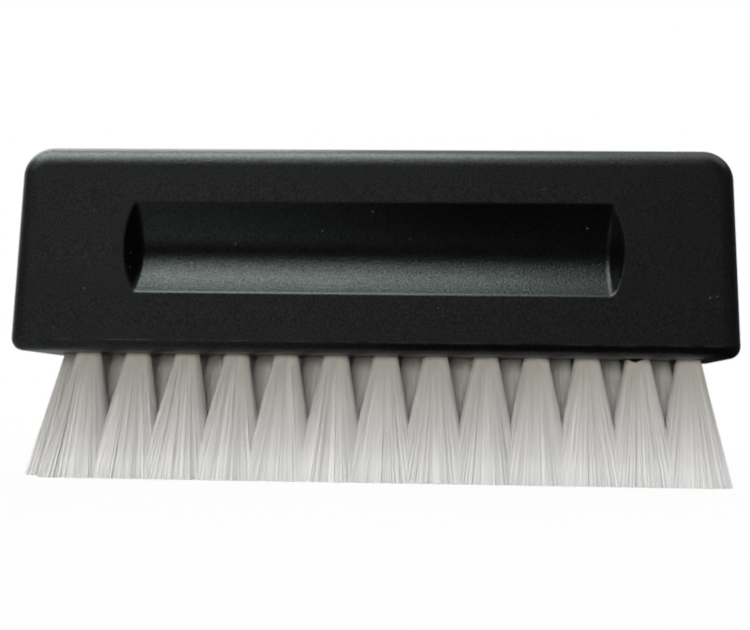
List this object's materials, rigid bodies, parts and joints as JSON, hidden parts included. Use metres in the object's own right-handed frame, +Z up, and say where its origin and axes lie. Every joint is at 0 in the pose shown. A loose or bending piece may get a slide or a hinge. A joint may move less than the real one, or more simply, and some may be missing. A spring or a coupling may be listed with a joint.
{
  "type": "record brush",
  "caption": "Hand brush for cleaning vinyl records: a black plastic block with a finger groove in each long face and rows of trimmed nylon tufts set in holes in its underside.",
  "frame": {"origin": "on the plane of the bristle tips that the brush stands on, under the middle of the block", "axes": "+X along the block, -Y out of the front face that the picture shows, +Z up from the tips to the top of the block"},
  "size_m": [0.1398, 0.0338, 0.0645],
  "materials": {
    "black_plastic": "fine matt grain, as left by an eroded mould",
    "white_nylon": "fine translucent off-white filaments, trimmed square"
  },
  "bodies": {
    "root": {"handle_block": "black_plastic", "front_tuft_01": "white_nylon", "front_tuft_02": "white_nylon", "front_tuft_03": "white_nylon", "front_tuft_04": "white_nylon", "front_tuft_05": "white_nylon", "front_tuft_06": "white_nylon", "front_tuft_07": "white_nylon", "front_tuft_08": "white_nylon", "front_tuft_09": "white_nylon", "front_tuft_10": "white_nylon", "front_tuft_11": "white_nylon", "front_tuft_12": "white_nylon", "front_tuft_13": "white_nylon", "middle_tuft_01": "white_nylon", "middle_tuft_02": "white_nylon", "middle_tuft_03": "white_nylon", "middle_tuft_04": "white_nylon", "middle_tuft_05": "white_nylon", "middle_tuft_06": "white_nylon", "middle_tuft_07": "white_nylon", "middle_tuft_08": "white_nylon", "middle_tuft_09": "white_nylon", "middle_tuft_10": "white_nylon", "middle_tuft_11": "white_nylon", "middle_tuft_12": "white_nylon", "middle_tuft_13": "white_nylon", "back_tuft_01": "white_nylon", "back_tuft_02": "white_nylon", "back_tuft_03": "white_nylon", "back_tuft_04": "white_nylon", "back_tuft_05": "white_nylon", "back_tuft_06": "white_nylon", "back_tuft_07": "white_nylon", "back_tuft_08": "white_nylon", "back_tuft_09": "white_nylon", "back_tuft_10": "white_nylon", "back_tuft_11": "white_nylon", "back_tuft_12": "white_nylon", "back_tuft_13": "white_nylon"}
  },
  "joints": []
}
